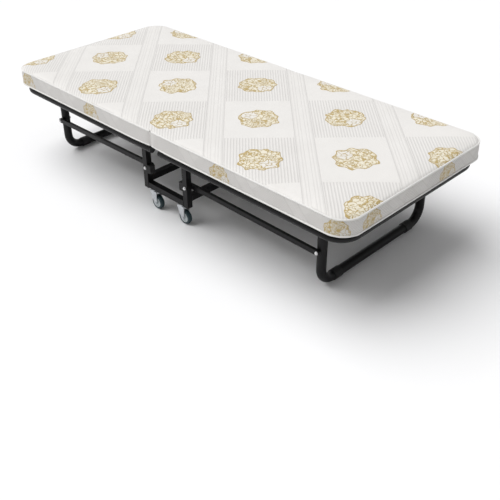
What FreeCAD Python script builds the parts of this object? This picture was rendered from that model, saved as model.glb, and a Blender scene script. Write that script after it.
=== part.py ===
"""Folding rollaway cot: two hinged half frames on a wheeled carriage, built as a parametric document.

Frame: X along the bed, Y across it, Z up, origin on the floor under the middle of the bed.
The two halves are the same parts turned half a turn about Z, so each is made by one function.
All sizes are millimetres and come from the sheet "Sizes".
"""
import FreeCAD, Part
import Sketcher
import os
import re

SIZES = {
    # mattress, in two halves whose inner ends are nosed so that each half can fold alone
    "bed_length": 1900, "bed_width": 840, "mattress_top": 402, "mattress_thick": 80,
    "mattress_corner": 80, "pad_low_start": 20, "pad_nose_start": 5, "pad_nose_height": 358, "pad_top_start": 47,
    # grey deck boards
    "deck_thick": 10, "deck_start": 25, "deck_end": 915, "deck_wide": 776, "deck_corner": 70,
    # half frame: one bent round tube and three flat crossbars
    "tube_dia": 28, "tube_wall": 1.5, "tube_height": 298, "rail_offset": 388, "rail_start": 25,
    "frame_end": 916, "frame_bend": 73, "bar_wide": 30, "bar_tall": 15, "bar_wall": 1.5,
    "middle_bar_at": 414, "plug_cap": 3, "plug_stem": 14,
    # fold pivots at the carriage post tops, and the legs' pivots under the outer crossbars
    "pivot_at": 120, "pivot_height": 283.5, "pivot_dia": 10, "leg_at": 765, "leg_pivot_height": 275,
    "link_drop": 114, "lug_thick": 5, "lug_gap": 1, "bracket_thick": 4, "bracket_gap": 0.5,
    "bracket_wide": 30, "running_gap": 0.05, "open_pivot_gap": 0.5,
    # bent tube legs
    "leg_dia": 36, "leg_offset": 299, "leg_bend": 60, "leg_over": 10, "leg_base": 20,
    "foot_radius": 20.5, "foot_at": 215, "foot_long": 40,
    # links that keep the legs upright
    "link_tall": 20, "link_thick": 12, "link_offset": 324,
    # carriage of square tube
    "post_wide": 25, "post_offset": 345.5, "post_base": 84, "post_wall": 2, "post_solid_top": 30,
    "cross_rail_height": 121.5, "stop_low": 152, "stop_high": 187, "stop_long": 20,
    # fasteners
    "bolt_dia": 8, "head_dia": 14, "head_tall": 5, "pivot_head_dia": 16, "spacer_dia": 16,
    "screw_dia": 5, "screw_head_dia": 9, "screw_head_tall": 3, "screw_bite": 7, "screw_offset": 285,
    "outer_screw_offset": 262,
    # swivel casters
    "caster_at": 84, "wheel_dia": 60, "wheel_wide": 20, "hub_dia": 43, "hub_wide": 18,
    "hub_dish": 3, "hub_boss": 16, "hub_rim": 35, "tyre_round": 5, "wheel_trail": 18,
    "fork_wide": 30, "fork_slot": 24, "crown_thick": 6, "crown_gap": 0.3, "crown_front": 14,
    "crown_back": 17, "cheek_half": 8, "plate_dia": 34, "plate_thick": 3, "king_dia": 8,
    "king_head_tall": 5, "axle_dia": 6, "axle_head_dia": 11, "axle_head_tall": 3,
}

HALVES = (("left", -1), ("right", 1))
SIDES = (("front", -1), ("rear", 1))
AXIS_TURN = {
    "x": FreeCAD.Rotation(FreeCAD.Vector(0, 1, 0), 90),
    "y": FreeCAD.Rotation(FreeCAD.Vector(1, 0, 0), -90),
    "z": FreeCAD.Rotation(),
}
HALF_TURN = FreeCAD.Rotation(FreeCAD.Vector(0, 0, 1), 180)

doc = FreeCAD.newDocument("FoldingCot")
sheet = doc.addObject("Spreadsheet::Sheet", "Sizes")
for row, (alias, value) in enumerate(SIZES.items(), start=1):
    sheet.set(f"A{row}", alias)
    sheet.set(f"B{row}", str(value))
    sheet.setAlias(f"B{row}", alias)
doc.recompute()
nodes = []


# ---------------------------------------------------------------- helpers

def full(text):
    """An expression in which every sheet name (a word with an underscore) names its sheet."""
    return re.sub(r"\b[a-z]+_\w+\b", r"Sizes.\g<0>", str(text))


def number(text):
    """The present value of an expression."""
    return float(sheet.evalExpression(full(text)))


def bind(thing, prop, text):
    thing.setExpression(prop, full(text))


def place(thing, centre, rotation=FreeCAD.Rotation()):
    """Put an object's origin at centre, three expressions, with a fixed turn."""
    thing.Placement = FreeCAD.Placement(FreeCAD.Vector(*map(number, centre)), rotation)
    for axis, text in zip("xyz", centre):
        bind(thing, f"Placement.Base.{axis}", text)


def node(label, thing):
    thing.Label = label
    nodes.append(thing)
    return thing


def box(centre, size):
    """A box by its centre and its size along X, Y and Z."""
    made = doc.addObject("Part::Box", "Block")
    for prop, span in zip(("Length", "Width", "Height"), size):
        bind(made, prop, span)
    place(made, [f"({mid}) - ({span}) / 2" for mid, span in zip(centre, size)])
    return made


def cylinder(axis, centre, diameter, length):
    """A cylinder along an axis, by its centre."""
    made = doc.addObject("Part::Cylinder", "Round")
    bind(made, "Radius", f"({diameter}) / 2")
    bind(made, "Height", length)
    base = [f"({mid}) - ({length}) / 2" if name == axis else mid for name, mid in zip("xyz", centre)]
    place(made, base, AXIS_TURN[axis])
    return made


def fuse(parts):
    made = doc.addObject("Part::MultiFuse", "Union")
    made.Shapes = parts
    made.Refine = True
    return made


def cut(base, tools):
    made = doc.addObject("Part::Cut", "Cutout")
    made.Base = base
    made.Tool = tools[0] if len(tools) == 1 else fuse(tools)
    return made


def group(parts):
    """Identical separate pieces held as one object."""
    made = doc.addObject("Part::Compound", "Pieces")
    made.Links = parts
    return made


def new_body():
    return doc.addObject("PartDesign::Body", "Piece")


def sketch_on(body, role, offset=(0, 0, 0)):
    """A sketch on one of the body's own planes, moved in that plane's own axes."""
    made = body.newObject("Sketcher::SketchObject", "Outline")
    made.AttachmentSupport = [(next(f for f in body.Origin.OriginFeatures if f.Role == role), "")]
    made.MapMode = "FlatFace"
    for axis, text in zip("xyz", offset):
        bind(made, f"AttachmentOffset.Base.{axis}", text)
    return made


def constrain(sketch, kind, *where, value=None):
    """Add a constraint; one with a value is bound to its expression."""
    if value is None:
        sketch.addConstraint(Sketcher.Constraint(kind, *where))
        return
    index = sketch.addConstraint(Sketcher.Constraint(kind, *where, number(value)))
    sketch.setExpression(f"Constraints[{index}]", full(value))


def outline(sketch, points):
    """A closed polygon through points, each a pair of expressions."""
    corners = [FreeCAD.Vector(number(along), number(up), 0) for along, up in points]
    count = len(points)
    for index in range(count):
        sketch.addGeometry(Part.LineSegment(corners[index], corners[(index + 1) % count]))
    for index, (along, up) in enumerate(points):
        constrain(sketch, "Coincident", index, 2, (index + 1) % count, 1)
        constrain(sketch, "DistanceX", -1, 1, index, 1, value=along)
        constrain(sketch, "DistanceY", -1, 1, index, 1, value=up)


def circles(sketch, diameters, centre=("0", "0")):
    """Circles about one centre."""
    middle = FreeCAD.Vector(number(centre[0]), number(centre[1]), 0)
    for index, diameter in enumerate(diameters):
        sketch.addGeometry(Part.Circle(middle, FreeCAD.Vector(0, 0, 1), number(diameter) / 2))
        constrain(sketch, "Diameter", index, value=diameter)
        constrain(sketch, "DistanceX", -1, 1, index, 3, value=centre[0])
        constrain(sketch, "DistanceY", -1, 1, index, 3, value=centre[1])


def pad(body, sketch, length):
    """A pad half to each side of its sketch."""
    made = body.newObject("PartDesign::Pad", "Pad")
    made.Profile = sketch
    bind(made, "Length", length)
    made.Midplane = True
    doc.recompute()
    return made


def pocket(body, sketch, length):
    """A pocket half to each side of its sketch; it has to remove material."""
    before = body.Shape.Volume
    made = body.newObject("PartDesign::Pocket", "Pocket")
    made.Profile = sketch
    bind(made, "Length", length)
    made.Midplane = True
    doc.recompute()
    if body.Shape.Volume >= before:
        raise RuntimeError("a pocket removed nothing")
    return made


def fillet(body, feature, radius, wanted):
    """Round the edges for which wanted(edge) is true."""
    names = [f"Edge{i}" for i, edge in enumerate(feature.Shape.Edges, start=1) if wanted(edge)]
    made = body.newObject("PartDesign::Fillet", "Fillet")
    made.Base = (feature, names)
    bind(made, "Radius", radius)
    doc.recompute()
    return made


def u_tube(diameter, wall, start, reach, offset, bend):
    """A round tube bent to a U that opens towards -X, lying in the body's XY plane."""
    body = new_body()
    spine = sketch_on(body, "XY_Plane")
    first, last, side, radius = (number(text) for text in (start, reach, offset, bend))
    turn = last - radius
    straight = side - radius
    points = [FreeCAD.Vector(*xy, 0) for xy in (
        (first, -side), (turn, -side), (last, -straight), (last, straight), (turn, side), (first, side))]
    normal = FreeCAD.Vector(0, 0, 1)
    quarter = 1.5707963267948966
    spine.addGeometry(Part.LineSegment(points[0], points[1]))
    spine.addGeometry(Part.ArcOfCircle(
        Part.Circle(FreeCAD.Vector(turn, -straight, 0), normal, radius), -quarter, 0))
    spine.addGeometry(Part.LineSegment(points[2], points[3]))
    spine.addGeometry(Part.ArcOfCircle(
        Part.Circle(FreeCAD.Vector(turn, straight, 0), normal, radius), 0, quarter))
    spine.addGeometry(Part.LineSegment(points[4], points[5]))
    for line, line_end, arc, arc_end in ((0, 2, 1, 1), (2, 1, 1, 2), (2, 2, 3, 1), (4, 1, 3, 2)):
        constrain(spine, "Tangent", line, line_end, arc, arc_end)
    constrain(spine, "Horizontal", 0)
    constrain(spine, "Vertical", 2)
    constrain(spine, "Horizontal", 4)
    constrain(spine, "Equal", 1, 3)
    constrain(spine, "Radius", 1, value=bend)
    constrain(spine, "DistanceX", -1, 1, 0, 1, value=start)
    constrain(spine, "DistanceX", -1, 1, 4, 2, value=start)
    constrain(spine, "DistanceY", -1, 1, 0, 1, value=f"-({offset})")
    constrain(spine, "DistanceY", -1, 1, 4, 2, value=offset)
    constrain(spine, "DistanceX", -1, 1, 2, 1, value=reach)
    section = sketch_on(body, "YZ_Plane", ("0", "0", start))
    circles(section, (diameter, f"{diameter} - 2 * {wall}"), (f"-({offset})", "0"))
    tube = body.newObject("PartDesign::AdditivePipe", "Tube")
    tube.Profile = section
    tube.Spine = (spine, [])
    doc.recompute()
    run = 2 * (turn - first) + 2 * straight + 3.141592653589793 * radius
    ring = 0.7853981633974483 * (number(diameter) ** 2 - number(f"{diameter} - 2 * {wall}") ** 2)
    if abs(body.Shape.Volume / (run * ring) - 1) > 0.01:
        raise RuntimeError("the bent tube is not hollow all along")
    return body


def ring(diameters, width):
    """A disc or ring about Y: circles padded evenly to both sides of the XZ plane."""
    body = new_body()
    face = sketch_on(body, "XZ_Plane")
    circles(face, diameters)
    return body, pad(body, face, width)


# ---------------------------------------------------------------- half frame parts

def frame_tube(name, sign):
    body = u_tube("tube_dia", "tube_wall", "rail_start", "frame_end", "rail_offset", "frame_bend")
    place(body, ("0", "0", "tube_height"), HALF_TURN if sign < 0 else FreeCAD.Rotation())
    node(f"frame_tube_{name}", body)


def bar_places():
    """Each crossbar's place along the bed and its outer screws' place across it."""
    return (("pivot_at", "screw_offset"), ("middle_bar_at", "screw_offset"),
            ("leg_at", "outer_screw_offset"))


BAR_MID = "tube_height + tube_dia / 2 - bar_tall / 2"
BAR_LOW = "(tube_height + tube_dia / 2 - bar_tall)"
DECK_LOW = "(tube_height + tube_dia / 2)"


def screw_shanks(sign, at, offset, diameter):
    """The three screws' shanks through one crossbar into the deck."""
    length = "bar_tall + screw_bite"
    return [cylinder("z", (f"{sign} * {at}", f"{row} * {offset}", f"{BAR_LOW} + ({length}) / 2"),
                     diameter, length) for row in (-1, 0, 1)]


def crossbars(name, sign):
    """Flat tubes welded between the rails, their ends coped to the round tube."""
    bars = []
    for at, offset in bar_places():
        centre = (f"{sign} * {at}", "0", BAR_MID)
        bar = box(centre, ("bar_wide", "2 * rail_offset", "bar_tall"))
        hollow = box(centre, ("bar_wide - 2 * bar_wall", "2 * rail_offset + 2", "bar_tall - 2 * bar_wall"))
        copes = [cylinder("x", (centre[0], f"{side} * rail_offset", "tube_height"), "tube_dia",
                          "2 * bar_wide") for _, side in SIDES]
        bars.append(cut(bar, [hollow] + copes + screw_shanks(sign, at, offset, "screw_dia")))
    node(f"crossbars_{name}", group(bars))


def deck(name, sign):
    """A board with two rounded outer corners, drilled for its screws."""
    body = new_body()
    plan = sketch_on(body, "XY_Plane")
    outline(plan, (("deck_start", "-deck_wide / 2"), ("deck_end", "-deck_wide / 2"),
                   ("deck_end", "deck_wide / 2"), ("deck_start", "deck_wide / 2")))
    board = pad(body, plan, "deck_thick")
    fillet(body, board, "deck_corner", lambda edge: is_upright(edge) and edge.CenterOfMass.x > 500)
    place(body, ("0", "0", f"{DECK_LOW} + deck_thick / 2"), HALF_TURN if sign < 0 else FreeCAD.Rotation())
    holes = [hole for at, offset in bar_places() for hole in screw_shanks(sign, at, offset, "screw_dia")]
    node(f"deck_{name}", cut(body, holes))


def is_upright(edge):
    ends = [vertex.Point for vertex in edge.Vertexes]
    return len(ends) == 2 and abs((ends[1] - ends[0]).z) > 0.9 * edge.Length


def deck_screws(name, sign):
    """Pan head screws driven up through the crossbars."""
    screws = []
    for at, offset in bar_places():
        for row, shank in zip((-1, 0, 1), screw_shanks(sign, at, offset, "screw_dia")):
            head = cylinder("z", (f"{sign} * {at}", f"{row} * {offset}", f"{BAR_LOW} - screw_head_tall / 2"),
                            "screw_head_dia", "screw_head_tall")
            screws.append(fuse([shank, head]))
    node(f"deck_screws_{name}", group(screws))


def tube_plugs(name, sign):
    """Caps in the open inner ends of the frame tube."""
    plugs = []
    for _, side in SIDES:
        across, up = f"{side} * rail_offset", "tube_height"
        cap = cylinder("x", (f"{sign} * (rail_start - plug_cap / 2)", across, up), "tube_dia", "plug_cap")
        stem = cylinder("x", (f"{sign} * (rail_start + plug_stem / 2)", across, up),
                        "tube_dia - 2 * tube_wall", "plug_stem")
        plugs.append(fuse([cap, stem]))
    node(f"tube_plugs_{name}", group(plugs))


def hanging_plate(at, across, pivot_height, thick, wide, bore):
    """A plate hung from a crossbar's underside, its lower end round about a pivot."""
    tall = f"{BAR_LOW} - {pivot_height}"
    plate = fuse([
        box((at, across, f"{pivot_height} + ({tall}) / 2"), (wide, thick, tall)),
        cylinder("y", (at, across, pivot_height), wide, thick)])
    return cut(plate, [cylinder("y", (at, across, pivot_height), bore, f"2 * {thick}")])


def hinge_lugs(name, sign):
    """The plates outside the carriage posts that the half frame swings on."""
    across = "(post_offset + post_wide / 2 + lug_gap + lug_thick / 2)"
    lugs = [hanging_plate(f"{sign} * pivot_at", f"{side} * {across}", "pivot_height", "lug_thick",
                          "post_wide", "pivot_dia + 2 * running_gap") for _, side in SIDES]
    node(f"hinge_lugs_{name}", group(lugs))


BRACKET_SHIFT = "(leg_dia / 2 + bracket_gap + bracket_thick / 2)"


def leg_brackets(name, sign):
    """Pairs of plates that hold each leg's pivot."""
    plates = [hanging_plate(f"{sign} * leg_at", f"{side} * (leg_offset + {shift} * {BRACKET_SHIFT})",
                            "leg_pivot_height", "bracket_thick", "bracket_wide", "bolt_dia")
              for _, side in SIDES for shift in (-1, 1)]
    node(f"leg_brackets_{name}", group(plates))


def bolt_with_nut(at, up, inner, outer, side, head="head_dia"):
    """A bolt across the bed from inner to outer face, its head outside and its nut inside."""
    grip = f"({outer} - ({inner}))"
    shank = cylinder("y", (at, f"{side} * ({inner} + {grip} / 2)", up), "bolt_dia", f"{grip} + 2 * head_tall")
    cap = cylinder("y", (at, f"{side} * ({outer} + head_tall / 2)", up), head, "head_tall")
    nut = cylinder("y", (at, f"{side} * ({inner} - head_tall / 2)", up), head, "head_tall")
    return fuse([shank, cap, nut])


def leg_pivot_bolts(name, sign):
    reach = f"({BRACKET_SHIFT} + bracket_thick / 2)"
    bolts = [bolt_with_nut(f"{sign} * leg_at", "leg_pivot_height", f"leg_offset - {reach}",
                           f"leg_offset + {reach}", side) for _, side in SIDES]
    node(f"leg_pivot_bolts_{name}", group(bolts))


def mattress(name, sign):
    """Half the mattress, with a nosed inner end and two rounded outer corners."""
    body = new_body()
    side_view = sketch_on(body, "XZ_Plane")
    low = "mattress_top - mattress_thick"
    outline(side_view, (("pad_low_start", low), ("bed_length / 2", low), ("bed_length / 2", "mattress_top"),
                        ("pad_top_start", "mattress_top"), ("pad_nose_start", "pad_nose_height")))
    block = pad(body, side_view, "bed_width")
    fillet(body, block, "mattress_corner", lambda edge: is_upright(edge) and edge.CenterOfMass.x > 500)
    place(body, ("0", "0", "0"), HALF_TURN if sign < 0 else FreeCAD.Rotation())
    node(f"mattress_{name}", body)


# ---------------------------------------------------------------- legs and links

LINK_HEIGHT = "(pivot_height - link_drop)"
LEG_LINK_HEIGHT = "(leg_pivot_height - link_drop)"


def leg_tube(name, sign):
    """A U of tube that stands on its bend, drilled for its two pivots."""
    body = u_tube("leg_dia", "tube_wall", "-leg_over", "leg_pivot_height - leg_base", "leg_offset", "leg_bend")
    downwards = FreeCAD.Rotation(FreeCAD.Vector(0, 1, 0), 90)
    place(body, (f"{sign} * leg_at", "0", "leg_pivot_height"), downwards)
    bores = []
    for _, side in SIDES:
        across = f"{side} * leg_offset"
        bores.append(cylinder("y", (f"{sign} * leg_at", across, "leg_pivot_height"),
                              "bolt_dia + 2 * running_gap", "2 * leg_dia"))
        bores.append(cylinder("y", (f"{sign} * leg_at", across, LEG_LINK_HEIGHT), "bolt_dia", "2 * leg_dia"))
    node(f"leg_tube_{name}", cut(body, bores))


def leg_feet(name, sign):
    """Rubber sleeves round the leg's floor bar, with a flat where they stand."""
    feet = []
    for _, side in SIDES:
        centre = (f"{sign} * leg_at", f"{side} * foot_at", "leg_base")
        sleeve = cylinder("y", centre, "2 * foot_radius", "foot_long")
        bore = cylinder("y", centre, "leg_dia", "2 * foot_long")
        under = box((centre[0], centre[1], "-foot_radius / 2"),
                    ("4 * foot_radius", "2 * foot_long", "foot_radius"))
        feet.append(cut(sleeve, [bore, under]))
    node(f"leg_feet_{name}", group(feet))


def leg_link_bolts(name, sign):
    """Bolts from each leg through the outer ends of the links."""
    outer = "link_offset + link_thick / 2 + running_gap"
    bolts = [bolt_with_nut(f"{sign} * leg_at", LEG_LINK_HEIGHT, "leg_offset - leg_dia / 2", outer, side)
             for _, side in SIDES]
    node(f"leg_link_bolts_{name}", group(bolts))


def link(name, sign, side_name, side):
    """A flat bar from a carriage post to a leg, parallel to the line of the frame's two pivots."""
    body = new_body()
    face = sketch_on(body, "XZ_Plane")
    length = "sqrt((leg_at - pivot_at)^2 + (pivot_height - leg_pivot_height)^2)"
    outline(face, (("0", "-link_tall / 2"), (length, "-link_tall / 2"), (length, "link_tall / 2"),
                   ("0", "link_tall / 2")))
    pad(body, face, "link_thick")
    for centre in ("0", length):
        knuckle = sketch_on(body, "XZ_Plane")
        circles(knuckle, ("link_tall",), (centre, "0"))
        pad(body, knuckle, "link_thick")
    for centre, gap in (("0", "running_gap"), (length, "open_pivot_gap")):
        bore = sketch_on(body, "XZ_Plane")
        circles(bore, (f"bolt_dia + 2 * {gap}",), (centre, "0"))
        pocket(body, bore, "2 * link_thick")
    tilt = FreeCAD.Rotation(FreeCAD.Vector(1, 0, 0), FreeCAD.Vector(
        sign * number("leg_at - pivot_at"), 0, number("leg_pivot_height - pivot_height")))
    place(body, (f"{sign} * pivot_at", f"{side} * link_offset", LINK_HEIGHT), tilt)
    node(f"link_{name}_{side_name}", body)


# ---------------------------------------------------------------- carriage

def post(name, sign, side_name, side):
    """A square tube post with a solid round top for the fold pivot."""
    at, across = f"{sign} * pivot_at", f"{side} * post_offset"
    tall = "pivot_height - post_base"
    column = fuse([
        box((at, across, f"post_base + ({tall}) / 2"), ("post_wide", "post_wide", tall)),
        cylinder("y", (at, across, "pivot_height"), "post_wide", "post_wide")])
    inside = "post_wide - 2 * post_wall"
    deep = f"{tall} - post_solid_top"
    cuts = [box((at, across, f"post_base + ({deep}) / 2"), (inside, inside, deep)),
            cylinder("y", (at, across, "pivot_height"), "pivot_dia", "2 * post_wide"),
            cylinder("y", (at, across, LINK_HEIGHT), "bolt_dia", "2 * post_wide")]
    node(f"post_{name}_{side_name}", cut(column, cuts))


def square_tube(along, centre, length):
    """A square tube of the posts' section along X or Y."""
    inside = "post_wide - 2 * post_wall"
    outer = [length if name == along else "post_wide" for name in "xyz"]
    inner = [f"{length} + 2" if name == along else inside for name in "xyz"]
    return cut(box(centre, outer), [box(centre, inner)])


def carriage_rails():
    side_centre = "post_base + post_wide / 2"
    node("side_rails", group([
        square_tube("x", ("0", f"{side} * post_offset", side_centre), "2 * pivot_at - post_wide")
        for _, side in SIDES]))
    node("cross_rails", group([
        square_tube("y", (f"{sign} * pivot_at", "0", "cross_rail_height"), "2 * post_offset - post_wide")
        for _, sign in HALVES]))


def carriage_corners(make):
    """One piece at each of the carriage's four posts."""
    return group([make(sign, side) for _, sign in HALVES for _, side in SIDES])


def post_plug(sign, side):
    at, across = f"{sign} * pivot_at", f"{side} * post_offset"
    inside = "post_wide - 2 * post_wall"
    cap = box((at, across, "post_base - plug_cap / 2"), ("post_wide", "post_wide", "plug_cap"))
    stem = box((at, across, "post_base + plug_stem / 2"), (inside, inside, "plug_stem"))
    return fuse([cap, stem])


def fold_stop(sign, side):
    """A rubber block on the inner face of a post, where the folded deck's edge comes to rest."""
    return box((f"{sign} * (pivot_at - post_wide / 2 - stop_long / 2)", f"{side} * post_offset",
                "(stop_low + stop_high) / 2"), ("stop_long", "post_wide", "stop_high - stop_low"))


def frame_pivot_bolt(sign, side):
    """A shoulder bolt from outside through the hinge lug into the post's solid top."""
    at = f"{sign} * pivot_at"
    inner = "(post_offset - post_wide / 2)"
    outer = "(post_offset + post_wide / 2 + 2 * lug_gap + lug_thick)"
    shank = cylinder("y", (at, f"{side} * ({inner} + {outer}) / 2", "pivot_height"), "pivot_dia",
                     f"{outer} - {inner}")
    head = cylinder("y", (at, f"{side} * ({outer} + head_tall / 2)", "pivot_height"), "pivot_head_dia",
                    "head_tall")
    return fuse([shank, head])


LINK_SPACE = "(post_offset - post_wide / 2 - link_offset - link_thick / 2)"


def link_pivot_bolt(sign, side):
    return bolt_with_nut(f"{sign} * pivot_at", LINK_HEIGHT, "link_offset - link_thick / 2 - running_gap",
                         "post_offset + post_wide / 2", side)


def link_spacer(sign, side):
    """A washer between a post and its link."""
    thick = f"{LINK_SPACE} - running_gap"
    across = f"{side} * (post_offset - post_wide / 2 - ({thick}) / 2)"
    centre = (f"{sign} * pivot_at", across, LINK_HEIGHT)
    return cut(cylinder("y", centre, "spacer_dia", thick), [cylinder("y", centre, "bolt_dia", "2 * link_thick")])


def caster_plate(sign, side):
    return cylinder("z", (f"{sign} * caster_at", f"{side} * post_offset", "post_base - plate_thick / 2"),
                    "plate_dia", "plate_thick")


CROWN_TOP = "(post_base - plate_thick - crown_gap)"
CROWN_LOW = "(post_base - plate_thick - crown_gap - crown_thick)"


def king_pin(sign, side):
    """The pin that a fork swivels on, headed below the fork's crown."""
    at, across = f"{sign} * caster_at", f"{side} * post_offset"
    low = f"({CROWN_LOW} - crown_gap)"
    shank = cylinder("z", (at, across, f"({low} + post_base - plate_thick) / 2"), "king_dia",
                     f"post_base - plate_thick - {low}")
    head = cylinder("z", (at, across, f"{low} - king_head_tall / 2"), "head_dia", "king_head_tall")
    return fuse([shank, head])


def caster(name, sign, side_name, side):
    """Fork, axle, hub and tyre of one caster, trailing towards +X."""
    at, across = f"{sign} * caster_at", f"{side} * post_offset"
    wheel_at, axle_height = f"{at} + wheel_trail", "wheel_dia / 2"
    body = new_body()
    cheek = sketch_on(body, "XZ_Plane")
    foot = f"{axle_height} - cheek_half"
    outline(cheek, (("-crown_front", CROWN_TOP), ("-crown_front", CROWN_LOW), ("wheel_trail - cheek_half", foot),
                    ("wheel_trail + cheek_half", foot), ("crown_back + cheek_half", CROWN_LOW),
                    ("crown_back + cheek_half", CROWN_TOP)))
    block = pad(body, cheek, "fork_wide")
    foot_height = number(foot)
    rounded = fillet(body, block, "cheek_half - 1", lambda edge: edge.CenterOfMass.z < foot_height + 0.1
                     and edge.Length > number("fork_slot") and abs(edge.CenterOfMass.y) < 0.1)
    slot = sketch_on(body, "XZ_Plane")
    far = "wheel_dia"
    outline(slot, ((f"-{far}", "-1"), (far, "-1"), (far, CROWN_LOW), (f"-{far}", CROWN_LOW)))
    pocket(body, slot, "fork_slot")
    place(body, (at, across, "0"))
    node(f"caster_fork_{name}_{side_name}", cut(body, [
        cylinder("z", (at, across, CROWN_LOW), "king_dia + 2 * running_gap", "4 * crown_thick"),
        cylinder("y", (wheel_at, across, axle_height), "axle_dia", "2 * fork_wide")]))

    heads = [cylinder("y", (wheel_at, f"{across} + {end} * (fork_wide + axle_head_tall) / 2", axle_height),
                      "axle_head_dia", "axle_head_tall") for end in (-1, 1)]
    shaft = cylinder("y", (wheel_at, across, axle_height), "axle_dia", "fork_wide")
    node(f"caster_axle_{name}_{side_name}", fuse([shaft] + heads))

    hub, disc = ring(("hub_dia", "axle_dia + 2 * running_gap"), "hub_wide")
    for end in (-1, 1):
        dish = sketch_on(hub, "XZ_Plane", ("0", "0", f"{end} * hub_wide / 2"))
        circles(dish, ("hub_rim", "hub_boss"))
        pocket(hub, dish, "2 * hub_dish")
    place(hub, (wheel_at, across, axle_height))
    node(f"caster_hub_{name}_{side_name}", hub)

    tyre, band = ring(("wheel_dia", "hub_dia"), "wheel_wide")
    fillet(tyre, band, "tyre_round", lambda edge: abs(edge.Length - 3.1416 * number("wheel_dia")) < 1)
    place(tyre, (wheel_at, across, axle_height))
    node(f"caster_tyre_{name}_{side_name}", tyre)


# ---------------------------------------------------------------- assembly

for half_name, half_sign in HALVES:
    for make in (frame_tube, crossbars, deck, deck_screws, tube_plugs, hinge_lugs, leg_brackets,
                 leg_pivot_bolts, mattress, leg_tube, leg_feet, leg_link_bolts):
        make(half_name, half_sign)
    for lane_name, lane_side in SIDES:
        for make in (link, post, caster):
            make(half_name, half_sign, lane_name, lane_side)
carriage_rails()
for label, make in (("post_plugs", post_plug), ("fold_stops", fold_stop),
                    ("frame_pivot_bolts", frame_pivot_bolt), ("link_pivot_bolts", link_pivot_bolt),
                    ("link_spacers", link_spacer), ("caster_plates", caster_plate),
                    ("caster_king_pins", king_pin)):
    node(label, carriage_corners(make))
doc.recompute()

for thing in doc.Objects:
    if "Invalid" in thing.State or "Error" in thing.State:
        raise RuntimeError(f"{thing.Name} ({thing.Label}) failed: {thing.State}")
os.makedirs("parts", exist_ok=True)
for thing in nodes:
    if thing.Shape.isNull() or not thing.Shape.isValid():
        raise RuntimeError(f"{thing.Label} has no valid shape")
    thing.Shape.exportStep(f"parts/{thing.Label}.step")
    spread = thing.Shape.BoundBox
    print(f"{thing.Label}: {len(thing.Shape.Solids)} solids, {thing.Shape.Volume / 1000:.1f} cm3, "
          f"x {spread.XMin:.1f}..{spread.XMax:.1f}, y {spread.YMin:.1f}..{spread.YMax:.1f}, "
          f"z {spread.ZMin:.1f}..{spread.ZMax:.1f}")
print(len(nodes), "nodes")
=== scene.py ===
"""Looks of a folding rollaway cot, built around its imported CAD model. Units are metres."""
import math
import random

import bmesh
import bpy
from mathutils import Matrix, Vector, noise
from mathutils.bvhtree import BVHTree


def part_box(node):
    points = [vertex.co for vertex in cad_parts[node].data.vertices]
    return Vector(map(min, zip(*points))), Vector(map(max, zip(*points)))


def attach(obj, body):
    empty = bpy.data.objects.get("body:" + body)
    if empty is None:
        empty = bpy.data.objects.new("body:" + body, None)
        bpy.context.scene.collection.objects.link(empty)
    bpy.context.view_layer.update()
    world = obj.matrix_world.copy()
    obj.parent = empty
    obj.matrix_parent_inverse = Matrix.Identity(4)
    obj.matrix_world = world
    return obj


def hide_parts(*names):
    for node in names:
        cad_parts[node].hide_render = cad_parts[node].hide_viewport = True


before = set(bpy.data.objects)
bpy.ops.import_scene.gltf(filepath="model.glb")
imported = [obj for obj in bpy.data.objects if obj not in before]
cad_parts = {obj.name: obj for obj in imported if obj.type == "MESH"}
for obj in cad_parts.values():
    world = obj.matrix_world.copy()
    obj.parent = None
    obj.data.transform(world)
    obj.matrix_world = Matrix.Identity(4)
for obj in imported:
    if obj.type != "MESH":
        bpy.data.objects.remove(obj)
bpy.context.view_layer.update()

HALVES = (("left", -1), ("right", 1))
SIDES = (("front", -1), ("rear", 1))

# The mattress, from its two CAD halves.
PAD_LOW, PAD_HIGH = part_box("mattress_right")
HALF_LENGTH = PAD_HIGH[0]
HALF_WIDTH = PAD_HIGH[1]
MATTRESS_BASE = PAD_LOW[2]
MATTRESS_TOP = PAD_HIGH[2]
CORNER_RADIUS = 0.080
TOP_ROUND = 0.012
BASE_ROUND = 0.007

# Pattern of the knitted cover: squares on a lattice turned 45 degrees to the bed.
CELL = 0.332
FIRST_MOTIF = (0.0, -0.300)
MOTIF_WIDE = 0.080
MOTIF_DEEP = 0.083
PINS_PER_METRE = 92.0
BAND_START = 0.397  # where the band between two columns begins, as a share of a square from its middle

# Medallions on the sides: distances round each half's edge, their height, and their size beside those on top.
SIDE_MOTIFS = {
    "left": (0.378, 0.840, 1.100, 1.500, 1.950, 2.380),
    "right": (0.378, 0.905, 1.056, 1.489, 1.950, 2.380),
}
SIDE_MOTIF_HEIGHT = 0.340
SIDE_MOTIF_SHRINK = 0.62
SIDE_ZONE = 0.05  # a face this near the outline, and steeper than SIDE_TILT, belongs to the sides
SIDE_TILT = 0.62

# Making of the mattress.
VOXEL = 0.010
SWELL_LIMIT = 0.005
SWELL_FRAMES = 20
SWELL_MARGIN = 0.003
PIPING_RADIUS = 0.0034
PIPING_BELOW_TOP = 0.009
PIPING_ABOVE_BASE = 0.004

# Bolts: their shanks and heads, and how far each reaches across the bed, from inner to outer face.
SHANK_RADIUS = 0.0039
HEAD_TALL = 0.005
WASHER_FROM = 0.0001
WASHER_TO = 0.0011
HEAD_FROM = 0.0013
LEG_BOLT_RADIUS = 0.007
CARRIAGE_BOLTS = (("frame_pivot_bolts", 0.008, 0.333, 0.365, False), ("link_pivot_bolts", 0.007, 0.318, 0.358, True))
LEG_BOLTS = (("leg_pivot_bolts", "frame", 0.2765, 0.3215), ("leg_link_bolts", "leg", 0.281, 0.330))

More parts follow.
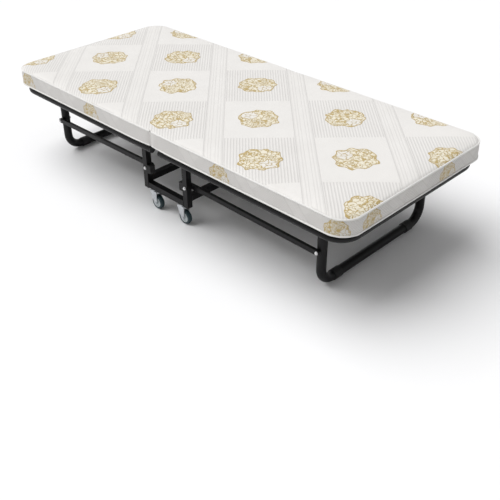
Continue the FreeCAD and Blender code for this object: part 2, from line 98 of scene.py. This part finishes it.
# Weld beads: where crossbars meet the frame tube, and where the carriage's rails meet its posts.
WELD_RADIUS = 0.0018
WELD_STEPS = 7
CROSSBAR_X = (0.120, 0.414, 0.765)
POST_X = 0.120
RAIL_WELD_HALF = 0.0122

# Studio: a dim even sky that brightens to white at the horizon, by the height of a unit direction.
SKY_LIGHT = 0.34
HORIZON_LIGHT = 1.05
HORIZON_FROM = 0.04
HORIZON_TO = 0.22
FLOOR_SIZE = 40
SUN_STRENGTH = 2.95
SUN_WIDTH = 62
SUN_DIRECTION = (0.98, 0.36, -1.6)

# Camera: angles in degrees, lens and sensor in millimetres.
CAMERA_AZIMUTH = 44.793
CAMERA_ELEVATION = 34.336
CAMERA_ROLL = -0.37
CAMERA_LENS = 55.98
CAMERA_SENSOR = 36.0
CAMERA_LOCATION = (2.1409, -2.0369, 1.6665)


# ---------------------------------------------------------------- materials

class Value:
    """A number in a material's node graph: Python's operators add Math nodes."""

    def __init__(self, graph, socket):
        self.graph, self.socket = graph, socket

    def __add__(self, other): return self.graph.math("ADD", self, other)
    def __radd__(self, other): return self.graph.math("ADD", other, self)
    def __sub__(self, other): return self.graph.math("SUBTRACT", self, other)
    def __rsub__(self, other): return self.graph.math("SUBTRACT", other, self)
    def __mul__(self, other): return self.graph.math("MULTIPLY", self, other)
    def __rmul__(self, other): return self.graph.math("MULTIPLY", other, self)
    def __truediv__(self, other): return self.graph.math("DIVIDE", self, other)


class Graph:
    """A material with a Principled shader and short ways to add nodes to it."""

    def __init__(self, name, **uniform):
        self.material = bpy.data.materials.new(name)
        self.material.use_nodes = True
        self.tree = self.material.node_tree
        self.shader = self.tree.nodes["Principled BSDF"]
        for socket, value in uniform.items():
            self.shader.inputs[socket.replace("_", " ")].default_value = value

    def node(self, kind, inputs=(), **settings):
        made = self.tree.nodes.new(kind)
        for key, value in settings.items():
            setattr(made, key, value)
        for key, value in dict(inputs).items():
            self.feed(value, made.inputs[key])
        return made

    def feed(self, value, socket):
        if isinstance(value, Value):
            value = value.socket
        if isinstance(value, bpy.types.NodeSocket):
            self.tree.links.new(value, socket)
        else:
            socket.default_value = value

    def math(self, operation, *values):
        made = self.tree.nodes.new("ShaderNodeMath")
        made.operation = operation
        for value, socket in zip(values, made.inputs):
            self.feed(value, socket)
        return Value(self, made.outputs[0])

    def fraction(self, value): return self.math("FRACT", value)
    def size(self, value): return self.math("ABSOLUTE", value)

    def step(self, low, high, value):
        """0 below low, 1 above high, smooth between; falls instead where low > high."""
        made = self.node("ShaderNodeMapRange", interpolation_type="SMOOTHSTEP")
        for socket, number in zip(made.inputs, (value, low, high, 0.0, 1.0)):
            self.feed(number, socket)
        return Value(self, made.outputs[0])

    def mix(self, amount, first, second):
        """A blend of two colours."""
        made = self.node("ShaderNodeMix", data_type="RGBA")
        for key, value in ((0, amount), (6, first), (7, second)):
            self.feed(value, made.inputs[key])
        return made.outputs[2]

    def coordinates(self, scale=(1, 1, 1)):
        """The piece's own coordinates, in metres, scaled."""
        where = self.node("ShaderNodeTexCoord").outputs["Object"]
        made = self.node("ShaderNodeVectorMath", operation="MULTIPLY")
        self.feed(where, made.inputs[0])
        made.inputs[1].default_value = scale
        return made.outputs[0]

    def noise(self, scale, detail=3.0, vector=None, roughness=0.5):
        made = self.node("ShaderNodeTexNoise", {
            "Vector": vector or self.coordinates(), "Scale": scale, "Detail": detail, "Roughness": roughness})
        return Value(self, made.outputs["Fac"])

    def bump(self, layers):
        """Heights in metres, each a (value, distance) pair, stacked into one normal."""
        normal = None
        for height, distance in layers:
            made = self.node("ShaderNodeBump", {"Height": height, "Strength": 1.0, "Distance": distance})
            if normal is not None:
                self.feed(normal, made.inputs["Normal"])
            normal = made.outputs["Normal"]
        self.feed(normal, self.shader.inputs["Normal"])

    def colour(self, value): self.feed(value, self.shader.inputs["Base Color"])
    def rough(self, value): self.feed(value, self.shader.inputs["Roughness"])


def cover_material():
    """Off-white knit: pinstriped and plain squares, each with a gold floral medallion; the sides carry painted
    shade.
    """
    g = Graph("mattress_cover", Sheen_Weight=0.25, Sheen_Roughness=0.5, Specular_IOR_Level=0.25)
    cloth = g.node("ShaderNodeAttribute", attribute_name="cloth").outputs["Vector"]
    split = g.node("ShaderNodeSeparateXYZ", {0: cloth})
    x, y, sideways = (Value(g, split.outputs[axis]) for axis in range(3))
    root = math.sqrt(0.5)
    first_u = (FIRST_MOTIF[0] + FIRST_MOTIF[1]) * root / CELL
    first_v = (FIRST_MOTIF[0] - FIRST_MOTIF[1]) * root / CELL
    # Squares are counted from well off the bed, so that no count is negative; the half centres the first medallion.
    shift = 20.5
    u = (x + y) * (root / CELL) - (first_u - shift)
    v = (x - y) * (root / CELL) - (first_v - shift)
    in_u = (g.fraction(u) - 0.5) * CELL
    in_v = (g.fraction(v) - 0.5) * CELL
    column = g.math("FLOOR", u)
    row = g.math("FLOOR", v)
    plain = g.fraction((column + row) * 0.5) * 2.0
    striped = 1.0 - plain

    # Where a point lies in its square, along the bed's own axes, and the medallion's wavering outline there.
    # Plain squares are mirrored.
    warp_reach = 0.024
    here_x = (in_u + in_v) * root * (1.0 - 2.0 * plain)
    here_y = (in_u - in_v) * root
    warp_a = g.noise(26.0, 2.0, cloth) - 0.5
    warp_b = g.noise(31.0, 2.0, g.node("ShaderNodeVectorMath", {0: cloth, 1: (3.1, 7.7, 0.0)},
                                        operation="ADD").outputs[0]) - 0.5
    mx = (here_x + warp_a * warp_reach) / MOTIF_WIDE
    my = (here_y + warp_b * warp_reach) / MOTIF_DEEP
    angle = g.math("ARCTAN2", my, mx)
    radius = g.math("SQRT", mx * mx + my * my)
    petal_edge = 0.94 + g.math("COSINE", angle * 9.0) * 0.045 + g.math("COSINE", angle * 4.0 + 0.8) * 0.04
    one_only = g.step(1.16, 1.15, sideways)
    inside = g.step(0.02, -0.02, radius - petal_edge) * one_only
    outline = g.step(0.036, 0.014, g.size(radius - petal_edge)) * one_only

    # Small packed florets: the cell edges, and one ring inside each.
    florets_per_metre, floret_jitter, warp_share, curl_share = 50.0, 0.8, 0.02, 0.022
    curl_a = g.noise(85.0, 1.0, cloth) - 0.5
    curl_b = g.noise(97.0, 1.0, cloth) - 0.5
    flow = g.node("ShaderNodeCombineXYZ", {0: here_x + warp_b * warp_share + curl_a * curl_share,
                                           1: here_y + warp_a * warp_share + curl_b * curl_share,
                                           2: column * 3.7 + row * 1.9})
    packing = {"Vector": flow.outputs[0], "Scale": florets_per_metre, "Randomness": floret_jitter}
    veins = g.node("ShaderNodeTexVoronoi", packing, feature="DISTANCE_TO_EDGE")
    vein_line = g.step(0.092, 0.040, Value(g, veins.outputs["Distance"]))
    florets = g.node("ShaderNodeTexVoronoi", packing)
    floret_line = g.step(0.070, 0.030, g.size(Value(g, florets.outputs["Distance"]) - 0.24))

    # Open petals on one side, pale inside their outlines.
    bx, by = mx - 0.58 + curl_a * 0.16, my + 0.06 + curl_b * 0.16
    petal_angle = g.math("ARCTAN2", by, bx)
    petal_reach = g.math("SQRT", bx * bx + by * by) / (0.38 + g.math("COSINE", petal_angle * 5.0) * 0.05)
    in_petals = g.step(1.02, 0.97, petal_reach)
    petal_line = g.math("MAXIMUM", g.step(0.085, 0.035, g.size(petal_reach - 1.0)),
                        g.step(0.070, 0.030, g.size(petal_reach - 0.30)))
    petal_line = g.math("MAXIMUM", petal_line, g.step(0.20, 0.08, g.size(g.math("SINE", petal_angle * 2.5)))
                        * in_petals * g.step(0.28, 0.34, petal_reach))
    lace = g.math("MAXIMUM", vein_line, floret_line) * inside * (1.0 - in_petals)
    gold = g.math("MAXIMUM", g.math("MAXIMUM", lace, petal_line * inside), outline)
    tint = inside * (1.0 - in_petals * 0.75)

    # Pinstripes along the v direction fill the striped squares. The bands between columns run through every square,
    # at the same pitch but fainter, with a rib line where they begin.
    near_edge = g.size(in_u) / CELL
    pin = g.fraction(in_u * PINS_PER_METRE)
    pin_line = g.step(0.30, 0.14, g.size(pin - 0.5)) * striped * g.step(0.405, 0.390, near_edge)
    band_line = g.step(0.24, 0.10, g.size(pin - 0.5)) * g.step(0.385, 0.400, near_edge)
    rib = g.step(0.009, 0.003, g.size(near_edge - BAND_START))
    stripes = g.math("MAXIMUM", pin_line * 0.70, g.math("MAXIMUM", band_line * 0.40, rib * 0.80))
    stripes = stripes * (1.0 - inside)

    # The knit's own loops, then the colours: cloth, stripes, medallion ground, painted shade darkening the sides,
    # gold thread.
    loops = 3100.0
    knit = g.math("SINE", x * loops) * g.math("SINE", y * loops)
    cloud = g.noise(7.0, 4.0, cloth)
    base = g.mix(cloud, (0.755, 0.735, 0.710, 1), (0.830, 0.812, 0.790, 1))
    base = g.mix(stripes * 0.46, base, (0.50, 0.485, 0.47, 1))
    base = g.mix(tint * 0.34, base, (0.90, 0.78, 0.42, 1))
    # Painted shade: side faces are mixed towards a darker grey, standing in for the shade the sides get beside the
    # brightly lit top.
    base = g.mix(g.step(0.4, 0.6, sideways) * 0.42, base, (0.46, 0.445, 0.425, 1))
    thread = g.mix(g.noise(160.0, 2.0, cloth), (0.38, 0.255, 0.060, 1), (0.54, 0.385, 0.11, 1))
    g.colour(g.mix(gold * 0.90, base, thread))
    g.rough(0.88 - gold * 0.28)
    g.bump(((knit, 0.00012), (1.0 - stripes, 0.0009), (gold, 0.0007), (g.noise(900.0, 2.0, cloth), 0.0002)))
    return g.material


def piping_material():
    """Off-white cord with a fine twill."""
    g = Graph("piping_cord", Sheen_Weight=0.2, Specular_IOR_Level=0.3)
    split = g.node("ShaderNodeSeparateXYZ", {0: g.coordinates((1100, 1100, 1600))})
    twill = g.math("SINE", Value(g, split.outputs[0]) + Value(g, split.outputs[1]) + Value(g, split.outputs[2]))
    g.colour(g.mix(g.noise(60.0), (0.76, 0.75, 0.73, 1), (0.84, 0.83, 0.81, 1)))
    g.rough(0.8 + g.noise(200.0) * 0.1)
    g.bump(((twill, 0.0002), (g.noise(500.0), 0.0003)))
    return g.material


def paint_material():
    """Semi-gloss black powder coat, with fine orange peel and faint patches of dust."""
    g = Graph("frame_paint", Specular_IOR_Level=0.22)
    wear = g.noise(38.0, 6.0, roughness=0.62)
    dust = g.step(0.56, 0.78, wear)
    g.colour(g.mix(dust * 0.4, (0.0022, 0.0022, 0.0026, 1), (0.012, 0.012, 0.013, 1)))
    g.rough(0.32 + g.noise(14.0, 3.0) * 0.14 + dust * 0.12)
    g.bump(((g.noise(650.0, 2.0), 0.00018), (g.noise(2400.0, 1.0), 0.00005)))
    return g.material


def deck_material():
    """Grey painted board: fine fibres, faint mottling."""
    g = Graph("deck_board", Specular_IOR_Level=0.3)
    fibres = g.noise(90.0, 5.0, g.coordinates((0.35, 6.0, 6.0)))
    mottle = g.noise(5.0, 4.0)
    flecks = g.step(0.64, 0.72, g.noise(420.0, 2.0))
    base = g.mix(mottle, (0.235, 0.233, 0.226, 1), (0.300, 0.297, 0.288, 1))
    base = g.mix(fibres * 0.35, base, (0.36, 0.355, 0.345, 1))
    g.colour(g.mix(flecks * 0.25, base, (0.13, 0.13, 0.13, 1)))
    g.rough(0.62 + fibres * 0.2)
    g.bump(((fibres, 0.00025), (g.noise(700.0), 0.0001)))
    return g.material


def metal_material(name, dark, light, low, high):
    """Plated steel, finely brushed and slightly uneven in polish."""
    g = Graph(name, Metallic=1.0)
    brushing = g.noise(420.0, 4.0, g.coordinates((1.0, 0.12, 1.0)))
    smudge = g.noise(30.0, 4.0)
    g.colour(g.mix(smudge, dark, light))
    g.rough(low + brushing * (high - low) + smudge * 0.08)
    g.bump(((brushing, 0.00006),))
    return g.material


def moulded_material(name, dark, light, roughness, grain=0.00010, **uniform):
    """Moulded plastic or rubber with a fine grain."""
    g = Graph(name, **uniform)
    g.colour(g.mix(g.noise(45.0, 4.0), dark, light))
    g.rough(roughness + g.noise(80.0, 3.0) * 0.14)
    g.bump(((g.noise(1300.0, 2.0), grain),))
    return g.material


def floor_material():
    """Matt, nearly white studio floor."""
    g = Graph("studio_floor", Specular_IOR_Level=0.15)
    g.colour(g.mix(g.noise(0.9, 3.0), (0.89, 0.89, 0.90, 1), (0.92, 0.92, 0.925, 1)))
    g.rough(0.75 + g.noise(3.0) * 0.1)
    g.bump(((g.noise(60.0), 0.0002),))
    return g.material


COVER = cover_material()
PIPING = piping_material()
PAINT = paint_material()
DECK = deck_material()
BRIGHT = metal_material("bright_zinc", (0.62, 0.62, 0.63, 1), (0.80, 0.80, 0.80, 1), 0.20, 0.36)
PLATED = metal_material("caster_plate_steel", (0.46, 0.48, 0.50, 1), (0.66, 0.68, 0.70, 1), 0.26, 0.44)
RUBBER = moulded_material("black_rubber", (0.003, 0.003, 0.003, 1), (0.009, 0.009, 0.010, 1), 0.68, 0.0002)
PLASTIC = moulded_material("black_plastic", (0.012, 0.012, 0.012, 1), (0.025, 0.025, 0.026, 1), 0.42)
HUB = moulded_material("caster_hub", (0.50, 0.54, 0.55, 1), (0.62, 0.66, 0.67, 1), 0.30, Coat_Weight=0.2)
TYRE = moulded_material("caster_tyre", (0.006, 0.022, 0.028, 1), (0.014, 0.040, 0.048, 1), 0.46, 0.00015)
FLOOR = floor_material()

NODE_MATERIALS = {
    "frame_tube": PAINT, "crossbars": PAINT, "hinge_lugs": PAINT, "leg_brackets": PAINT, "leg_tube": PAINT,
    "link": PAINT, "post": PAINT, "side_rails": PAINT, "cross_rails": PAINT, "deck": DECK,
    "deck_screws": BRIGHT, "link_spacers": BRIGHT, "tube_plugs": PLASTIC, "post_plugs": PLASTIC,
    "leg_feet": RUBBER, "fold_stops": RUBBER, "caster_fork": PLATED, "caster_axle": PLATED,
    "caster_plates": PLATED, "caster_king_pins": PLATED, "caster_hub": HUB, "caster_tyre": TYRE,
}


def dress_nodes():
    """Give every CAD node its own procedural material: the one with the longest matching name."""
    for name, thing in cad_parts.items():
        starts = [start for start in NODE_MATERIALS if name.startswith(start)]
        material = NODE_MATERIALS[max(starts, key=len)] if starts else BRIGHT
        thing.data.materials.clear()
        thing.data.materials.append(material)


# ---------------------------------------------------------------- mesh helpers

def add(mesh_or_curve, name, material):
    thing = bpy.data.objects.new(name, mesh_or_curve)
    bpy.context.scene.collection.objects.link(thing)
    thing.data.materials.append(material)
    return thing


def from_bmesh(bm, name, material, smooth=True):
    mesh = bpy.data.meshes.new(name)
    bm.to_mesh(mesh)
    bm.free()
    for face in mesh.polygons:
        face.use_smooth = smooth
    return add(mesh, name, material)


def apply_modifiers(thing):
    """Bake a piece's modifiers into its mesh."""
    graph = bpy.context.evaluated_depsgraph_get()
    mesh = bpy.data.meshes.new_from_object(thing.evaluated_get(graph))
    thing.modifiers.clear()
    thing.data = mesh


# ---------------------------------------------------------------- mattress

def plan_outline(half_length, half_width, radius, steps=10):
    """A rectangle with round corners, anticlockwise from the corner at +X, -Y."""
    points = []
    for cx, cy, start in ((1, -1, -90), (1, 1, 0), (-1, 1, 90), (-1, -1, 180)):
        for step in range(steps + 1):
            angle = math.radians(start + 90 * step / steps)
            points.append((cx * (half_length - radius) + radius * math.cos(angle),
                           cy * (half_width - radius) + radius * math.sin(angle)))
    return points


def mattress_block():
    """The foam block, a little under size, with rounded top and bottom edges."""
    shrink = SWELL_MARGIN
    profile = []
    for step in range(5):
        rise, side = 1 - math.cos(math.radians(22.5 * step)), 1 - math.sin(math.radians(22.5 * step))
        profile.append((MATTRESS_BASE + BASE_ROUND * rise, BASE_ROUND * side))
        profile.append((MATTRESS_TOP - 2 * shrink - TOP_ROUND * rise, TOP_ROUND * side))
    bm = bmesh.new()
    rings = []
    for height, inset in sorted(profile):
        off = inset + shrink
        rings.append([bm.verts.new((x, y, height)) for x, y in plan_outline(
            HALF_LENGTH - off, HALF_WIDTH - off, CORNER_RADIUS - inset)])
    for low, high in zip(rings, rings[1:]):
        for index in range(len(low)):
            after = (index + 1) % len(low)
            bm.faces.new((low[index], low[after], high[after], high[index]))
    bm.faces.new(reversed(rings[0]))
    bm.faces.new(rings[-1])
    return from_bmesh(bm, "mattress_whole", COVER)


def swell(thing):
    """Fill the cover: remesh, blow up as cloth under pressure, and limit how far each point goes."""
    remesh = thing.modifiers.new("Remesh", "REMESH")
    remesh.mode = "VOXEL"
    remesh.voxel_size = VOXEL
    apply_modifiers(thing)
    rest = [vertex.co.copy() for vertex in thing.data.vertices]
    cloth = thing.modifiers.new("Cloth", "CLOTH")
    settings = cloth.settings
    settings.quality = 4
    settings.mass = 0.4
    settings.tension_stiffness = 30
    settings.compression_stiffness = 12
    settings.bending_stiffness = 2.0
    settings.use_pressure = True
    settings.uniform_pressure_force = 4.0
    settings.effector_weights.gravity = 0.0
    cloth.collision_settings.use_collision = False
    cloth.point_cache.frame_start, cloth.point_cache.frame_end = 1, SWELL_FRAMES
    scene = bpy.context.scene
    for step in range(1, SWELL_FRAMES + 1):
        scene.frame_set(step)
    apply_modifiers(thing)
    for vertex, start in zip(thing.data.vertices, rest):
        moved = vertex.co - start
        if moved.length > SWELL_LIMIT:
            vertex.co = start + moved * (SWELL_LIMIT / moved.length)
    scene.frame_set(1)


def from_rim(x, y):
    """How far a point lies inside the mattress's outline, and the way out from it."""
    centre = Vector((max(min(x, HALF_LENGTH - CORNER_RADIUS), CORNER_RADIUS - HALF_LENGTH),
                     max(min(y, HALF_WIDTH - CORNER_RADIUS), CORNER_RADIUS - HALF_WIDTH)))
    away = Vector((x, y)) - centre
    return CORNER_RADIUS - away.length, away.normalized()


def ramp(value, low, high):
    """0 up to low, 1 from high on, straight between."""
    return min(max((value - low) / (high - low), 0.0), 1.0)


def settle(thing):
    """Fill out the sides and base edge, let the overhang droop, and rumple the cover faintly."""
    rim_width, base_edge_tall, fold_width, droop = 0.03, 0.022, 0.014, 0.004
    side_bulge, base_bulge, pinch, base_lift = 0.0025, 0.0055, 0.0060, 0.006
    rumple_tall, crown_tall, top_limit, base_clearance = 0.0010, 0.0014, 0.0012, 0.0004
    for vertex in thing.data.vertices:
        x, y, z = vertex.co
        level = ramp(z, MATTRESS_BASE, MATTRESS_TOP)
        inset, way = from_rim(x, y)
        at_rim = 1 - ramp(inset, 0.0, rim_width)
        base_edge = (1 - ramp(z, MATTRESS_BASE, MATTRESS_BASE + base_edge_tall)) * at_rim
        swell_out = side_bulge * math.sin(math.pi * level) * at_rim + base_bulge * base_edge
        vertex.co.x += way.x * swell_out
        vertex.co.y += way.y * swell_out
        upper = ramp(level, 0.2, 0.7)
        rumple = noise.noise(Vector((x * 5, y * 5, z * 9))) + 0.4 * noise.noise(Vector((x * 14, y * 14, z * 20)))
        crown = 1 - max(abs(x) / HALF_LENGTH, abs(y) / HALF_WIDTH) ** 6
        vertex.co.z = min(z + upper * (rumple_tall * rumple + crown_tall * crown), MATTRESS_TOP + top_limit)
        fold = math.exp(-(x / fold_width) ** 2)
        vertex.co.y -= math.copysign(pinch * fold * at_rim, y)
        overhang = 1 - ramp(inset, 0.008, 0.016)
        lowest = MATTRESS_BASE + base_clearance - droop * overhang
        vertex.co.z = max(vertex.co.z - droop * base_edge, lowest)
        vertex.co.z += base_lift * fold * base_edge


def along_edge(x, y):
    """Distance round a half's edge, from the fold on the near side, past the end, to the far side."""
    straight_x, straight_y = HALF_LENGTH - CORNER_RADIUS, HALF_WIDTH - CORNER_RADIUS
    quarter = CORNER_RADIUS * math.pi / 2
    past_x = abs(x) - straight_x
    if past_x <= 0:
        return abs(x) if y < 0 else straight_x + 2 * (quarter + straight_y) - past_x
    if abs(y) <= straight_y:
        return straight_x + quarter + straight_y + y
    if y < 0:
        return straight_x + CORNER_RADIUS * math.atan2(past_x, -y - straight_y)
    return straight_x + quarter + 2 * straight_y + CORNER_RADIUS * math.atan2(y - straight_y, past_x)


def lay_cloth(mesh, sign, motifs):
    """Write where each face corner lies on the flat cover: the top in plan, the sides unrolled about their motifs.

    The third number is 0 on top; on the sides it is 1 plus the distance from the medallion.
    """
    cloth = mesh.attributes.new("cloth", "FLOAT_VECTOR", "CORNER")
    for face in mesh.polygons:
        outward = max(abs(face.center.x) - (HALF_LENGTH - SIDE_ZONE), abs(face.center.y) - (HALF_WIDTH - SIDE_ZONE))
        on_side = abs(face.normal.z) < SIDE_TILT and outward > 0
        if on_side:
            reach = along_edge(face.center.x, face.center.y)
            home = min(motifs, key=lambda motif: abs(motif - reach))
        for loop in face.loop_indices:
            point = mesh.vertices[mesh.loops[loop].vertex_index].co
            where = (point.x, point.y, 0.0)
            if on_side:
                aside = along_edge(point.x, point.y) - home
                above = point.z - SIDE_MOTIF_HEIGHT
                where = (sign * aside / SIDE_MOTIF_SHRINK + FIRST_MOTIF[0],
                         FIRST_MOTIF[1] + above / SIDE_MOTIF_SHRINK, 1.0 + abs(aside))
            cloth.data[loop].vector = where


def cut_half(whole, sign, name):
    """One half of the mattress, closed at the fold with a flat end."""
    bm = bmesh.new()
    bm.from_mesh(whole.data)
    geometry = bm.verts[:] + bm.edges[:] + bm.faces[:]
    half_gap = 0.0001
    cut = bmesh.ops.bisect_plane(bm, geom=geometry, plane_co=(sign * half_gap, 0, 0), plane_no=(sign, 0, 0),
                                 clear_inner=True)
    rim = [item for item in cut["geom_cut"] if isinstance(item, bmesh.types.BMEdge)]
    bmesh.ops.holes_fill(bm, edges=rim, sides=0)
    bmesh.ops.triangulate(bm, faces=[face for face in bm.faces if len(face.verts) > 4])
    for edge in rim:
        edge.smooth = False
    return from_bmesh(bm, name, COVER)


def piping_route(sign, height, surface):
    """Points along a half mattress's edge, drawn onto its surface."""
    plan = plan_outline(HALF_LENGTH, HALF_WIDTH, CORNER_RADIUS, 8)
    corner = len(plan) // 4
    bend = plan[:2 * corner]
    straight = HALF_LENGTH - CORNER_RADIUS
    start = [(straight * step / 12 + 0.003, -HALF_WIDTH) for step in range(12)]
    end = [(x, HALF_WIDTH) for x, _ in reversed(start)]
    points = []
    for x, y in start + bend + end:
        found, normal, _, _ = surface.find_nearest(Vector((x * sign, y, height)))
        points.append(found + normal * 0.0010)
    return points


def tube(name, points, radius, material):
    """A round cord through points."""
    curve = bpy.data.curves.new(name, "CURVE")
    curve.dimensions = "3D"
    curve.bevel_depth = radius
    curve.bevel_resolution = 3
    curve.resolution_u = 3
    curve.use_fill_caps = True
    spline = curve.splines.new("NURBS")
    spline.points.add(len(points) - 1)
    for target, point in zip(spline.points, points):
        target.co = (*point, 1.0)
    spline.order_u = 3
    spline.use_endpoint_u = True
    return add(curve, name, material)


def make_mattress():
    """The mattress: made whole, cut at the fold, each half piped round its top and base edges."""
    whole = mattress_block()
    swell(whole)
    subdivide = whole.modifiers.new("Smooth", "SUBSURF")
    subdivide.levels = subdivide.render_levels = 1
    apply_modifiers(whole)
    settle(whole)
    for half, sign in HALVES:
        pad = cut_half(whole, sign, f"mattress_cover_{half}")
        lay_cloth(pad.data, sign, SIDE_MOTIFS[half])
        surface = BVHTree.FromPolygons([vertex.co for vertex in pad.data.vertices],
                                       [tuple(face.vertices) for face in pad.data.polygons])
        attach(pad, f"frame_{half}")
        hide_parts(f"mattress_{half}")
        for level, height in (("top", MATTRESS_TOP - PIPING_BELOW_TOP), ("base", MATTRESS_BASE + PIPING_ABOVE_BASE)):
            route = piping_route(sign, height, surface)
            cord = tube(f"mattress_piping_{level}_{half}", route, PIPING_RADIUS, PIPING)
            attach(cord, f"frame_{half}")
    bpy.data.objects.remove(whole)


# ---------------------------------------------------------------- fasteners and welds

def turned(bm, where, side, profile, sides):
    """Rings about a line across the bed: profile gives (distance outwards, radius) pairs."""
    rings = []
    for reach, radius in profile:
        turns = [math.tau * k / sides for k in range(sides)]
        rings.append([bm.verts.new((where[0] + radius * math.cos(turn), side * reach,
                                    where[1] + radius * math.sin(turn))) for turn in turns])
    for low, high in zip(rings, rings[1:]):
        for k in range(sides):
            after = (k + 1) % sides
            bm.faces.new((low[k], low[after], high[after], high[k]))
    bm.faces.new(rings[0])
    bm.faces.new(rings[-1])


def hex_bolt(bm, where, side, inner, outer, radius, nut):
    """A bolt through inner..outer: domed hexagon head and washer outside, perhaps a lock nut inside."""
    tall = HEAD_TALL
    turned(bm, where, side, ((inner - (tall if nut else 0), SHANK_RADIUS), (outer + 0.001, SHANK_RADIUS)), 16)
    turned(bm, where, side, ((outer + WASHER_FROM, radius), (outer + WASHER_TO, radius),
                             (outer + HEAD_FROM, radius * 0.95)), 28)
    turned(bm, where, side, ((outer + HEAD_FROM, radius * 0.9), (outer + tall * 0.8, radius * 0.9),
                             (outer + tall * 0.95, radius * 0.75), (outer + tall, radius * 0.55)), 6)
    if not nut:
        return
    turned(bm, where, side, ((inner - WASHER_FROM, radius), (inner - WASHER_TO, radius)), 28)
    turned(bm, where, side, ((inner - HEAD_FROM, radius * 0.88), (inner - tall * 0.7, radius * 0.88)), 6)
    turned(bm, where, side, ((inner - tall * 0.7, radius * 0.72), (inner - tall * 0.9, radius * 0.68),
                             (inner - tall, radius * 0.55)), 20)


def bolt_piece(node, body, holes, span, radius, nut=True):
    """Replace a CAD node of plain bolts, where each hole is (x, z) and goes through both sides of the bed."""
    bm = bmesh.new()
    for hole in holes:
        for _, side in SIDES:
            hex_bolt(bm, hole, side, *span, radius, nut)
    bmesh.ops.recalc_face_normals(bm, faces=bm.faces)
    piece = from_bmesh(bm, f"{node}_hex", BRIGHT, smooth=False)
    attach(piece, body)
    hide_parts(node)


def make_bolts():
    """Hexagon bolts in place of every pivot bolt, on the axes of the CAD's own."""
    for node, radius, inner, outer, nut in CARRIAGE_BOLTS:
        low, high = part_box(node)
        middle = (low[2] + high[2]) / 2
        across = high[0] - radius
        bolt_piece(node, "carriage", [(end * across, middle) for _, end in HALVES], (inner, outer), radius, nut)
    for half, _ in HALVES:
        for node, body, inner, outer in LEG_BOLTS:
            low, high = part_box(f"{node}_{half}")
            centre = ((low[0] + high[0]) / 2, (low[2] + high[2]) / 2)
            bolt_piece(f"{node}_{half}", f"{body}_{half}", [centre], (inner, outer), LEG_BOLT_RADIUS)


def bead(name, loops, body):
    """Weld beads along closed loops of points, slightly uneven in height."""
    curve = bpy.data.curves.new(name, "CURVE")
    curve.dimensions = "3D"
    curve.bevel_depth = WELD_RADIUS
    curve.bevel_resolution = 2
    for loop in loops:
        spline = curve.splines.new("POLY")
        spline.points.add(len(loop) - 1)
        for target, point in zip(spline.points, loop):
            target.co = (*point, 1.0)
            target.radius = random.uniform(0.75, 1.15)
        spline.use_cyclic_u = True
    thing = add(curve, name, PAINT)
    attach(thing, body)


def rectangle(centre, u, v):
    """Points round a rectangle with half sides u and v."""
    centre, u, v = Vector(centre), Vector(u), Vector(v)
    corners = (centre - u - v, centre + u - v, centre + u + v, centre - u + v)
    return [a.lerp(b, k / WELD_STEPS) for a, b in zip(corners, corners[1:] + corners[:1]) for k in range(WELD_STEPS)]


def make_welds():
    """Beads where the crossbars meet the frame tubes, and where the carriage's rails meet its posts."""
    for half, sign in HALVES:
        loops = []
        for x in CROSSBAR_X:
            for _, side in SIDES:
                centre = (sign * x, side * 0.3752, 0.3042)
                loops.append(rectangle(centre, (0.0150, 0, 0), (0, side * 0.0014, 0.0068)))
        bead(f"crossbar_welds_{half}", loops, f"frame_{half}")
    loops = []
    for _, end in HALVES:
        for _, side in SIDES:
            cross_rail, side_rail = (end * POST_X, side * 0.3328, 0.1215), (end * 0.1073, side * 0.3455, 0.0965)
            loops.append(rectangle(cross_rail, (RAIL_WELD_HALF, 0, 0), (0, 0, RAIL_WELD_HALF)))
            loops.append(rectangle(side_rail, (0, RAIL_WELD_HALF, 0), (0, 0, RAIL_WELD_HALF)))
    bead("carriage_welds", loops, "carriage")


# ---------------------------------------------------------------- studio

def make_studio():
    """A pale floor under an even sky and one broad soft sun."""
    bpy.ops.mesh.primitive_plane_add(size=FLOOR_SIZE, location=(0, 0, 0))
    floor = bpy.context.object
    floor.name = "studio_floor"
    floor.data.materials.append(FLOOR)
    world = bpy.data.worlds.new("studio")
    bpy.context.scene.world = world
    world.use_nodes = True
    nodes, links = world.node_tree.nodes, world.node_tree.links
    height = nodes.new("ShaderNodeSeparateXYZ")
    links.new(nodes.new("ShaderNodeTexCoord").outputs["Generated"], height.inputs[0])
    fade = nodes.new("ShaderNodeMapRange")
    for socket, number in zip(fade.inputs[1:5], (HORIZON_FROM, HORIZON_TO, HORIZON_LIGHT, SKY_LIGHT)):
        socket.default_value = number
    links.new(height.outputs["Z"], fade.inputs[0])
    links.new(fade.outputs[0], nodes["Background"].inputs["Strength"])
    nodes["Background"].inputs["Color"].default_value = (1.0, 1.0, 1.0, 1)
    lamp = bpy.data.lights.new("key", "SUN")
    lamp.energy = SUN_STRENGTH
    lamp.angle = math.radians(SUN_WIDTH)
    light = bpy.data.objects.new("key", lamp)
    light.rotation_euler = Vector(SUN_DIRECTION).to_track_quat("-Z", "Y").to_euler()
    bpy.context.scene.collection.objects.link(light)


def make_camera():
    """The camera, looking down on the cot from beyond its near right corner."""
    azimuth, elevation = math.radians(CAMERA_AZIMUTH), math.radians(CAMERA_ELEVATION)
    data = bpy.data.cameras.new("view")
    data.sensor_width = CAMERA_SENSOR
    data.lens = CAMERA_LENS
    camera = bpy.data.objects.new("view", data)
    back = Vector((math.sin(azimuth) * math.cos(elevation), -math.cos(azimuth) * math.cos(elevation),
                   math.sin(elevation)))
    camera.location = CAMERA_LOCATION
    camera.rotation_euler = (-back).to_track_quat("-Z", "Y").to_euler()
    camera.rotation_euler.rotate_axis("Z", math.radians(CAMERA_ROLL))
    bpy.context.scene.collection.objects.link(camera)
    bpy.context.scene.camera = camera


random.seed(7)
make_studio()
make_camera()
dress_nodes()
make_mattress()
make_bolts()
make_welds()
bpy.context.scene.view_settings.view_transform = "Standard"
